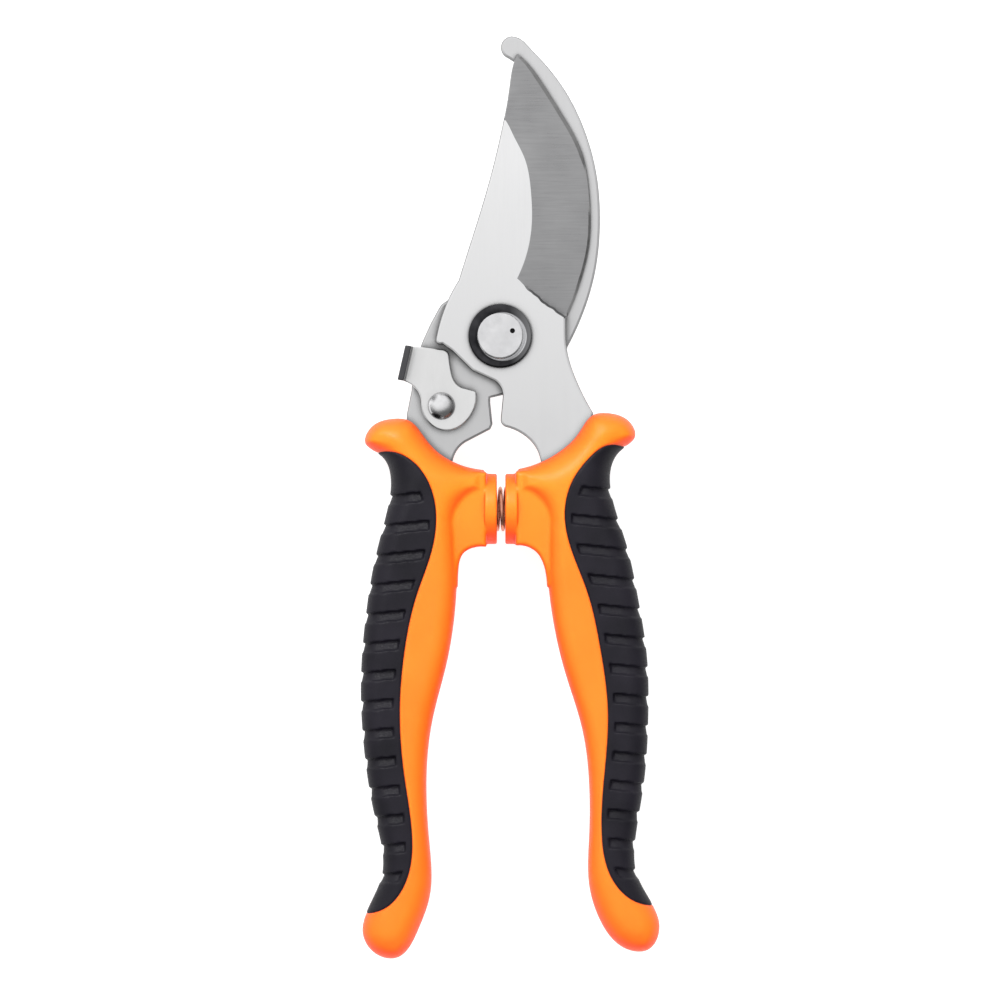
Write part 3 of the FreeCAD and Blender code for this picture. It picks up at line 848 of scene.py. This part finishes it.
class Plate:
    """A steel plate with eased edges, whose upper side may be ground to a slope."""

    EASE = 0.48
    HOLE_POINTS = 72

    def __init__(self, loop, low, top, holes=(), lines=(), inner=None, honed=None):
        self.loop = anticlockwise(loop)
        self.low, self.top, self.holes = low, top, holes
        self.places, self.faces, self.creases = [], [], set()
        self.lines, self.inner = lines, inner
        self.honed = np.zeros(len(self.loop)) if honed is None else honed(self.loop)
        self.build()

    def ring(self, inset, z):
        start = len(self.places)
        flat = self.loop + inward(self.loop) * np.reshape(inset, (-1, 1))
        self.places += [(x, y, h) for (x, y), h in zip(flat, np.broadcast_to(z, len(flat)))]
        return list(range(start, start + len(flat)))

    def circle(self, hole, z):
        start = len(self.places)
        x, y, radius = hole
        for n in range(self.HOLE_POINTS):
            angle = math.tau * n / self.HOLE_POINTS
            self.places.append((x + radius * math.cos(angle), y + radius * math.sin(angle), z))
        return list(range(start, start + self.HOLE_POINTS))

    def wall(self, lower, upper):
        for n in range(len(lower)):
            m = (n + 1) % len(lower)
            self.faces.append((lower[n], lower[m], upper[m], upper[n]))

    def build(self):
        high = self.top(self.loop)
        ease = np.minimum(self.EASE, (high - self.low) * 0.3)
        shoulder = np.maximum(ease, self.honed)
        crest = self.top(self.loop + inward(self.loop) * shoulder[:, None])
        side = np.where(self.honed > 0, self.low + 0.3, high - ease)
        halfway = np.where(self.honed > 0, (side + crest) / 2, high - 0.3 * ease)
        rings = [
            self.ring(ease, self.low),
            self.ring(0.3 * ease, self.low + 0.3 * ease),
            self.ring(0, np.minimum(self.low + ease, side)),
            self.ring(0, side),
            self.ring(np.where(self.honed > 0, shoulder / 2, 0.3 * ease), halfway),
            self.ring(shoulder, crest),
        ]
        for lower, upper in zip(rings, rings[1:]):
            self.wall(lower, upper)
        bottoms = [self.circle(hole, self.low) for hole in self.holes]
        tops = [self.circle(hole, float(self.top(np.array([hole[:2]]))[0])) for hole in self.holes]
        for lower, upper in zip(bottoms, tops):
            self.wall(upper, lower)
        crest_ring = rings[-1]
        self.creases |= set(zip(crest_ring, [*crest_ring[1:], crest_ring[0]]))
        self.cap(rings[0], bottoms, False)
        self.cap(rings[-1], tops, True)

    def nearest(self, ring, spot):
        return min(ring, key=lambda n: math.dist(self.places[n][:2], spot))

    def cap(self, ring, circles, upper):
        """Fills the ring with triangles, leaving the circles open and keeping the given lines as edges."""
        used = list(ring) + [n for circle in circles for n in circle]
        edges = []
        for loop in [ring, *circles]:
            edges += [(a, b) for a, b in zip(loop, [*loop[1:], loop[0]])]
        if upper:
            for line in self.lines:
                ends = [self.nearest(ring, end) for end in (line[0], line[-1])]
                start = len(self.places)
                heights = self.top(np.array(line[1:-1]))
                self.places += [(x, y, h) for (x, y), h in zip(line[1:-1], heights)]
                middle = list(range(start, len(self.places)))
                path = [ends[0], *middle, ends[1]]
                used += middle
                edges += list(zip(path, path[1:]))
                self.creases |= set(zip(path, path[1:]))
            if self.inner is not None:
                start = len(self.places)
                self.places += [(x, y, h) for (x, y), h in zip(self.inner, self.top(self.inner))]
                used += range(start, len(self.places))
        order = {n: k for k, n in enumerate(used)}
        flat = [Vector(self.places[n][:2]) for n in used]
        rim = np.array([self.places[n][:2] for n in ring])
        pairs = [(order[a], order[b]) for a, b in edges]
        points, _, triangles, origins, _, _ = geometry.delaunay_2d_cdt(flat, pairs, [], 0, 1e-6, True)
        names = []
        for point, origin in zip(points, origins):
            if origin:
                names.append(used[origin[0]])
            else:
                names.append(len(self.places))
                height = float(self.top(np.array([point[:2]]))[0]) if upper else self.low
                self.places.append((point[0], point[1], height))
        zero = Vector((0, 0))
        middles = np.array([sum((points[k] for k in triangle), zero) / 3 for triangle in triangles])
        kept = inside(middles, rim)
        for x, y, radius in self.holes:
            kept &= np.hypot(middles[:, 0] - x, middles[:, 1] - y) > radius
        for triangle in np.array(triangles)[kept]:
            corners = [names[k] for k in triangle]
            self.faces.append(tuple(corners if upper else corners[::-1]))


def steel_piece(name, plate, materials, choose):
    """The plate as an object, with each face's finish chosen from its place and slope."""
    piece = new_object(name, np.array(plate.places), plate.faces, materials[0])
    mesh = piece.data
    for material in materials[1:]:
        mesh.materials.append(material)
    middles = np.array([face.center[:] for face in mesh.polygons]) / MM
    middles[:, :2] -= np.array([pivot_x, pivot_y]) / MM
    normals = np.array([face.normal[2] for face in mesh.polygons])
    mesh.polygons.foreach_set("material_index", choose(middles, normals).astype(np.int32))
    mesh.set_sharp_from_angle(angle=math.radians(40))
    creases = {tuple(sorted(pair)) for pair in plate.creases}
    for edge in mesh.edges:
        if tuple(sorted(edge.vertices)) in creases:
            edge.use_edge_sharp = True
    weighted = piece.modifiers.new("weighted", "WEIGHTED_NORMAL")
    weighted.keep_sharp = True
    return piece


HOOK_LOW, HOOK_HIGH = 5.6, 8.8
BLADE_LOW, BLADE_HIGH = 9.2, 12.2
EDGE_HIGH = BLADE_LOW + 0.75
PIVOT_HOLE = (0.0, 0.0, 4.05)
RIVET_HOLE = 2.05
LINE_STEP = 0.35
BEVEL_LINE = spline(BEVEL_INNER, LINE_STEP)
EDGE_LINE = spline([BLADE_TIP, *CUTTING_EDGE], LINE_STEP)
HEEL_RAMP = 0.5
# Faces steeper than this take the sheared steel, whose darkness is partly the real blanked edge and partly
# painted shade.
SHEARED_AND_SHADED_BELOW = 0.6
HONED_AT = [8.0, 12.0, 26.0, 29.0, 35.0, 39.0, 56.0, 60.0]
HONED_WIDTHS = [0.4, 0.55, 0.5, 0.3, 0.3, 0.75, 0.8, 0.5]


def honed_width(y):
    """The width of the steeper strip along the cutting edge."""
    return np.interp(y, HONED_AT, HONED_WIDTHS)


def heel_line(shift):
    """Where the grinding wheel stopped: a slightly wavy line across the blade."""
    start, end = np.array(BEVEL_INNER[-1]), np.array(HEEL_END)
    t = np.linspace(0, 1, 40)[:, None]
    across = np.array([end[1] - start[1], start[0] - end[0]]) / np.hypot(*(end - start))
    wave = 0.1 * np.sin(t * 19.0) + 0.05 * np.sin(t * 43.0 + 1.0) - 0.5 * np.sin(t * math.pi)
    wave *= np.clip(np.minimum(t, 1 - t) * 8, 0, 1)
    return start + t * (end - start) - across * (wave + shift)


HEEL = heel_line(0.0)
BEVEL_OUTSIDE = [(14.6, 3.2), (20.6, 19.7), (20.6, 33.0), (16.9, 44.5), (2.0, 66.0)]
BEVEL_ZONE = np.concatenate([BEVEL_LINE, HEEL, BEVEL_OUTSIDE])


def blade_top(points):
    """Height of the blade's upper side, ground down from the bevel line to the edge."""
    points = np.asarray(points, float)
    ground = inside(points, BEVEL_ZONE)
    from_line = line_distance(points, BEVEL_LINE)
    from_edge = np.maximum(line_distance(points, EDGE_LINE) - honed_width(points[:, 1]), 0)
    share = np.clip(from_line / np.maximum(from_line + from_edge, 1e-6), 0, 1)
    ramp = np.clip(line_distance(points, HEEL) / HEEL_RAMP, 0, 1)
    return BLADE_HIGH - np.where(ground, (BLADE_HIGH - EDGE_HIGH) * share * ramp, 0)


def blade_lattice():
    """Points inside the ground zone that let it curve."""
    xs, ys = np.meshgrid(np.arange(-2, 22, 1.1), np.arange(2, 64, 1.1))
    points = np.stack([xs.ravel(), ys.ravel()], 1)
    apart = np.minimum.reduce([line_distance(points, line) for line in (BEVEL_LINE, EDGE_LINE, HEEL)])
    outline_apart = line_distance(points, np.concatenate([BLADE_OUTLINE, BLADE_OUTLINE[:1]]))
    within = inside(points, BEVEL_ZONE) & inside(points, BLADE_OUTLINE)
    return points[within & (apart > 1.0) & (outline_apart > 1.0)]


def on_edge(loop):
    """The honed strip's width along the cutting edge, and 0 elsewhere."""
    near = (line_distance(loop, EDGE_LINE) < 0.05) & (loop[:, 1] > HEEL_END[1] + 0.8)
    return np.where(near & (loop[:, 1] < 60.4), honed_width(loop[:, 1]), 0.0)


def make_blade():
    spine = anticlockwise(BLADE_OUTLINE)
    within = BEVEL_LINE[inside(BEVEL_LINE, spine)]
    heel_low = heel_line(HEEL_RAMP)[2:-3]
    plate = Plate(
        BLADE_OUTLINE, BLADE_LOW, blade_top, [PIVOT_HOLE],
        [np.concatenate([within, HEEL])], np.concatenate([blade_lattice(), heel_low]), on_edge,
    )

    def choose(middles, normals):
        flat = middles[:, :2]
        ground = inside(flat, BEVEL_ZONE) & (normals > 0.2)
        from_edge = line_distance(flat, EDGE_LINE)
        along = (flat[:, 1] < 60.3) & (flat[:, 1] > 4.5)
        honed = ground & along & (from_edge < honed_width(flat[:, 1]) * 0.9)
        sheared = ~ground & (np.abs(normals) < SHEARED_AND_SHADED_BELOW)
        return np.select([honed, ground, sheared], [2, 1, 3], 0)

    finishes = ("blade_steel", "ground_steel", "honed_steel", "sheared_steel")
    piece = steel_piece("ground_blade", plate, [MATERIALS[finish] for finish in finishes], choose)
    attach(piece, "blade_half")
    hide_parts("cutting_blade")


def make_hook():
    holes = [PIVOT_HOLE, (*RIVET, RIVET_HOLE)]
    plate = Plate(HOOK_OUTLINE, HOOK_LOW, flat_top(HOOK_HIGH), holes)

    def choose(middles, normals):
        return np.where(np.abs(normals) < SHEARED_AND_SHADED_BELOW, 1, 0)

    finishes = ("hook_steel", "sheared_steel")
    piece = steel_piece("hook_plate", plate, [MATERIALS[finish] for finish in finishes], choose)
    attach(piece, "hook_half")
    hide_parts("counter_blade")


# ---- latch

LATCH_MIDDLE = 10.0
LATCH_HALF = 0.75
BEND_RADIUS = 0.6 + LATCH_HALF
TAB_FOOT, TAB_END = (-20.6, -2.0), (-22.3, -9.5)
LATCH_ROUND = 0.35
LATCH_PLAN = outline(
    TAB_FOOT,
    [(-12.4, -2.9)],
    [(-11.5, -3.3), (-11.1, -4.2)],
    [(-10.7, -7.2), (-9.8, -9.9), (-8.4, -11.1)],
    [(-5.3, -11.9)],
    [(-5.3, -14.4), (-7.2, -18.2), (-10.6, -20.3), (-13.6, -20.0), (-16.2, -17.6), (-17.1, -14.2)],
    [(-17.8, -12.0), (-19.4, -10.4), TAB_END],
    step=0.3,
)


def latch_field(axes, spots):
    """A sheet bent up into the thumb tab at its left end, trimmed to the latch's plan."""
    x, y, z = spots
    foot, end = np.array(TAB_FOOT), np.array(TAB_END)
    along = (end - foot) / np.hypot(*(end - foot))
    outwards = (x - foot[0]) * along[1] - (y - foot[1]) * along[0]
    upright = -LATCH_HALF
    bend_at = upright - BEND_RADIUS
    bend_high = LATCH_MIDDLE + BEND_RADIUS
    flat = np.hypot(np.maximum(outwards - bend_at, 0), z - LATCH_MIDDLE)
    tab = np.hypot(outwards - upright, np.maximum(bend_high - z, 0))
    around = np.abs(np.hypot(outwards - bend_at, z - bend_high) - BEND_RADIUS)
    corner = np.where((outwards > bend_at) & (z < bend_high), around, 1e3)
    sheet = np.minimum(np.minimum(flat, tab), corner) - LATCH_HALF
    plan = flat_distance(axes[0], axes[1], LATCH_PLAN)
    solid = soft_max(soft_max(sheet, plan, LATCH_ROUND), z - TAB_TOP, LATCH_ROUND)
    hole = np.hypot(x - RIVET[0], y - RIVET[1]) - RIVET_HOLE
    return np.maximum(solid, -hole)


def make_latch(cell):
    low, high = LATCH_PLAN.min(0) - 1, LATCH_PLAN.max(0) + 1
    piece = form("latch_lever", latch_field, (*low, 8.2), (*high, 17.0), cell, MATERIALS["latch_steel"])
    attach(piece, "latch")
    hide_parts("latch_plate")


# ---- rivet


def turned(name, centre, profile, material, segments=96):
    """A piece turned about Z through the centre, from (radius, height) points of its profile."""
    places, faces = [], []
    rows = []
    for radius, height in profile:
        if radius < 1e-6:
            rows.append([len(places)] * segments)
            places.append((*centre, height))
            continue
        rows.append(list(range(len(places), len(places) + segments)))
        for n in range(segments):
            angle = math.tau * n / segments
            x, y = radius * math.cos(angle), radius * math.sin(angle)
            places.append((centre[0] + x, centre[1] + y, height))
    for lower, upper in zip(rows, rows[1:]):
        for n in range(segments):
            m = (n + 1) % segments
            corners = list(dict.fromkeys((lower[n], lower[m], upper[m], upper[n])))
            faces.append(tuple(corners))
    piece = new_object(name, np.array(places), faces, material)
    piece.data.set_sharp_from_angle(angle=math.radians(40))
    return piece


def cap_profile(base, radius, rise, steps=14):
    """The half section of a ball cap, from its rim to its top. A negative rise points down."""
    ball = (radius**2 + rise**2) / (2 * abs(rise))
    widest = math.asin(radius / ball)
    points = []
    for n in range(steps + 1):
        angle = widest * (1 - n / steps)
        lift = ball * math.cos(angle) - ball * math.cos(widest)
        points.append((ball * math.sin(angle), base + math.copysign(lift, rise)))
    return points


RIVET_HEAD_LOW = LATCH_MIDDLE + LATCH_HALF + 0.05
RIVET_HEAD_RADIUS, RIVET_HEAD_RISE = 2.9, 1.7
RIVET_TAIL_HIGH = HOOK_LOW - 0.8
RIVET_SHANK = 2.0


def make_rivet():
    tail = cap_profile(RIVET_TAIL_HIGH, RIVET_HEAD_RADIUS, -1.0)[::-1]
    shank = [
        (RIVET_SHANK, RIVET_TAIL_HIGH),
        (RIVET_SHANK, RIVET_HEAD_LOW),
        (RIVET_HEAD_RADIUS, RIVET_HEAD_LOW),
    ]
    head = cap_profile(RIVET_HEAD_LOW + 0.15, RIVET_HEAD_RADIUS, RIVET_HEAD_RISE - 0.15)
    piece = turned("domed_rivet", RIVET, [*tail, *shank, *head], MATERIALS["bright_steel"])
    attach(piece, "hook_half")
    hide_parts("latch_rivet")


RING_LOW = BLADE_HIGH + 0.05
RING_BORE, RING_RADIUS = 3.05, 6.9
HEAD_SEAT = 5.02
# The ring's section from the bore round its underside to the seat: radius, and height above RING_LOW.
RING_SECTION = [
    (RING_BORE, 0.6), (RING_BORE, 0.0), (RING_RADIUS - 0.15, 0.0), (RING_RADIUS, 0.15), (RING_RADIUS, 0.75),
    (RING_RADIUS - 0.12, 0.98), (RING_RADIUS - 0.34, 1.13), (RING_RADIUS - 0.62, 1.18),
    (HEAD_SEAT + 0.35, 0.86), (HEAD_SEAT, 0.8), (HEAD_SEAT, 0.6), (RING_BORE, 0.6),
]


def make_ring():
    """The dark cup washer, dished towards the bolt's head."""
    profile = [(radius, RING_LOW + height) for radius, height in RING_SECTION]
    piece = turned("cup_ring", (0, 0), profile, MATERIALS["ring_steel"], 144)
    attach(piece, "hook_half")
    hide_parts("pivot_ring")


# ---- spring

SPRING_TURNS = 14
SPRING_RADIUS = 4.5
WIRE_RADIUS = 0.38
SPRING_INSET = 6.9
SPRING_START_ANGLE = 0.9
SPRING_CLOSING = 0.07


def make_spring():
    """A coil along X between the two handles' sockets, wound closer at its ends."""
    left = (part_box("left_handle")[1].x / MM - pivot_x / MM) - SPRING_INSET
    right = (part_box("right_handle")[0].x / MM - pivot_x / MM) + SPRING_INSET
    steps, sides = 48, 12
    count = SPRING_TURNS * steps
    t = np.linspace(0, 1, count + 1)
    along = t - SPRING_CLOSING * np.sin(math.tau * t) / math.tau
    angle = math.tau * SPRING_TURNS * t + SPRING_START_ANGLE
    x = left + (right - left) * along
    y = SPRING_Y + SPRING_RADIUS * np.cos(angle)
    centre = np.stack([x, y, MID_HEIGHT + SPRING_RADIUS * np.sin(angle)], 1)
    outwards = np.stack([np.zeros_like(t), np.cos(angle), np.sin(angle)], 1)
    tangent = np.gradient(centre, axis=0)
    tangent /= np.linalg.norm(tangent, axis=1)[:, None]
    across = np.cross(tangent, outwards)
    places, faces = [], []
    for n in range(count + 1):
        for k in range(sides):
            turn = math.tau * k / sides
            aside = math.cos(turn) * outwards[n] + math.sin(turn) * across[n]
            places.append(centre[n] + WIRE_RADIUS * aside)
    for n in range(count):
        for k in range(sides):
            m = (k + 1) % sides
            a, b = n * sides, (n + 1) * sides
            faces.append((a + k, a + m, b + m, b + k))
    faces.append(tuple(range(sides))[::-1])
    faces.append(tuple(range(count * sides, (count + 1) * sides)))
    piece = new_object("coil_spring", np.array(places), faces, MATERIALS["copper_spring"])
    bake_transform(piece)
    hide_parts("spring")


# ---- stage


FLOOR_HALF = 3.0


def floor():
    """A plain pale floor just under the piece, lit evenly enough to show as white."""
    mesh = bpy.data.meshes.new("floor")
    corners = [(x * FLOOR_HALF, y * FLOOR_HALF, 0) for x, y in ((-1, -1), (1, -1), (1, 1), (-1, 1))]
    mesh.from_pydata(corners, [], [(0, 1, 2, 3)])
    plane = bpy.data.objects.new("floor", mesh)
    bpy.context.scene.collection.objects.link(plane)
    plane.location.z = cad_low.z - 0.0002
    m = Nodes("floor")
    m.set(Base_Color=(0.4, 0.4, 0.4, 1), Roughness=0.9, Emission_Color=(1, 1, 1, 1), Emission_Strength=0.85)
    mesh.materials.append(m.material)


KEY_PLACE, KEY_SIZE, KEY_POWER = (-0.16, 0.36, 0.5), (0.26, 0.2), 2.9
FILL_PLACE, FILL_SIZE, FILL_POWER = (0.25, -0.45, 0.5), (0.5, 0.5), 1.8


def lit_group(name, things):
    group = bpy.data.collections.new(name)
    for thing in things:
        group.objects.link(thing)
    return group


def area_light(name, place, size, power, group, mirrored):
    """A softbox for one group of pieces, which may show in their gloss or not."""
    lamp = bpy.data.lights.new(name, "AREA")
    lamp.shape = "RECTANGLE"
    lamp.size, lamp.size_y = size
    lamp.energy = power
    thing = bpy.data.objects.new(name, lamp)
    bpy.context.scene.collection.objects.link(thing)
    thing.location = place
    thing.rotation_mode = "QUATERNION"
    thing.rotation_quaternion = (-Vector(place)).to_track_quat("-Z", "Y")
    thing.visible_glossy = mirrored
    thing.light_linking.receiver_collection = group


def make_lights():
    """A key and a fill for each group. Only the mouldings mirror the key, because it burns the steel out."""
    meshes = [thing for thing in bpy.context.scene.objects if thing.type == "MESH"]
    moulded = [thing for thing in meshes if thing.name.endswith(("_handle_body", "_rubber_grip"))]
    others = [thing for thing in meshes if thing not in moulded]
    for kind, things, mirrored in (("moulded", moulded, True), ("metal", others, False)):
        group = lit_group(kind, things)
        area_light(f"key_{kind}", KEY_PLACE, KEY_SIZE, KEY_POWER, group, mirrored)
        area_light(f"fill_{kind}", FILL_PLACE, FILL_SIZE, FILL_POWER, group, False)


# The dome's strength follows the direction: Z, plus a lean towards the tip and away from +X.
DOME_LEAN_Y, DOME_LEAN_X = 0.85, -0.3
DOME_DARK_AT, DOME_BRIGHT_AT = 0.02, 0.85
DOME_DARK, DOME_BRIGHT = 0.22, 1.12


def world():
    """A studio dome: bright overhead and behind the tip, darker round the horizon."""
    sky = bpy.data.worlds.new("studio")
    bpy.context.scene.world = sky
    sky.use_nodes = True
    tree = sky.node_tree
    add, link = tree.nodes.new, tree.links.new
    direction = add("ShaderNodeTexCoord")
    parts = add("ShaderNodeSeparateXYZ")
    link(direction.outputs["Generated"], parts.inputs[0])
    height = parts.outputs["Z"]
    for axis, lean in (("Y", DOME_LEAN_Y), ("X", DOME_LEAN_X)):
        node = add("ShaderNodeMath")
        node.operation = "MULTIPLY_ADD"
        link(parts.outputs[axis], node.inputs[0])
        node.inputs[1].default_value = lean
        link(height, node.inputs[2])
        height = node.outputs[0]
    ramp = add("ShaderNodeMapRange")
    ramp.interpolation_type = "SMOOTHSTEP"
    link(height, ramp.inputs["Value"])
    for socket, value in (
        ("From Min", DOME_DARK_AT),
        ("From Max", DOME_BRIGHT_AT),
        ("To Min", DOME_DARK),
        ("To Max", DOME_BRIGHT),
    ):
        ramp.inputs[socket].default_value = value
    back = tree.nodes["Background"]
    back.inputs["Color"].default_value = (1, 1, 1, 1)
    link(ramp.outputs[0], back.inputs["Strength"])


CAMERA_DISTANCE = 2.4
FRAME_WIDTH = 0.216
VIEW_CENTRE = (-0.0864, -35.3808)


def camera():
    """Straight above, and far off, because the photograph shows no perspective."""
    lens = bpy.data.cameras.new("camera")
    lens.lens = lens.sensor_width * CAMERA_DISTANCE / FRAME_WIDTH
    eye = bpy.data.objects.new("camera", lens)
    bpy.context.scene.collection.objects.link(eye)
    eye.location = to_frame((*VIEW_CENTRE, MID_HEIGHT + CAMERA_DISTANCE / MM))
    bpy.context.scene.camera = eye


give_materials()
make_sides(0.3)
make_blade()
make_hook()
make_latch(0.15)
make_rivet()
make_ring()
make_spring()
floor()
make_lights()
world()
camera()
bpy.context.scene.view_settings.view_transform = "Standard"
